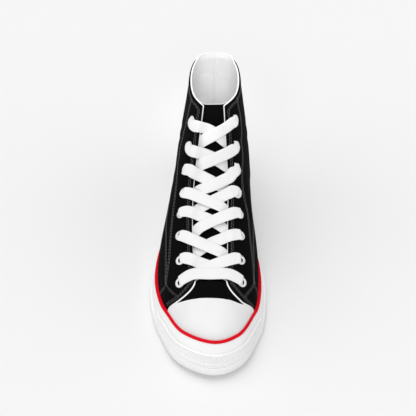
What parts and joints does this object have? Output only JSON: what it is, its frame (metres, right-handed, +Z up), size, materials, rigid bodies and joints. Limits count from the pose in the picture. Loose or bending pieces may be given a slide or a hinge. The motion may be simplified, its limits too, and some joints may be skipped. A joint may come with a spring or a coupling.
{
  "type": "high top sneaker",
  "caption": "lace-up high top canvas sneaker with vulcanised rubber sole, red foxing stripe, ribbed toe bumper and rubber toe cap, standing empty",
  "frame": {"origin": "centre of the bounding box's underside, on the floor under the sole", "axes": "+Y from toe to heel, +X to the shoe's inner (medial) side, +Z up"},
  "size_m": [0.1072, 0.282, 0.1524],
  "materials": {
    "outsole": "matte off-white moulded rubber",
    "midsole": "smooth white rubber foxing",
    "foxing_stripe": "satin red rubber",
    "toe_bumper": "textured white rubber",
    "upper": "black woven canvas, white lining",
    "toe_cap": "smooth satin white rubber",
    "tongue": "black woven canvas",
    "insole": "off-white fabric-covered foam",
    "eyelet": "bright rolled metal",
    "lace": "white flat woven cotton"
  },
  "bodies": {
    "root": {"outsole": "outsole", "midsole": "midsole", "foxing_stripe": "foxing_stripe", "toe_bumper": "toe_bumper", "upper": "upper", "toe_cap": "toe_cap", "tongue": "tongue", "insole": "insole", "eyelet_outer_1": "eyelet", "eyelet_outer_2": "eyelet", "eyelet_outer_3": "eyelet", "eyelet_outer_4": "eyelet", "eyelet_outer_5": "eyelet", "eyelet_outer_6": "eyelet", "eyelet_outer_7": "eyelet", "eyelet_outer_8": "eyelet", "eyelet_inner_1": "eyelet", "eyelet_inner_2": "eyelet", "eyelet_inner_3": "eyelet", "eyelet_inner_4": "eyelet", "eyelet_inner_5": "eyelet", "eyelet_inner_6": "eyelet", "eyelet_inner_7": "eyelet", "eyelet_inner_8": "eyelet", "lace_bar": "lace", "lace_crossing_1": "lace", "lace_crossing_2": "lace", "lace_crossing_3": "lace", "lace_crossing_4": "lace", "lace_crossing_5": "lace", "lace_crossing_6": "lace", "lace_crossing_7": "lace"}
  },
  "joints": []
}
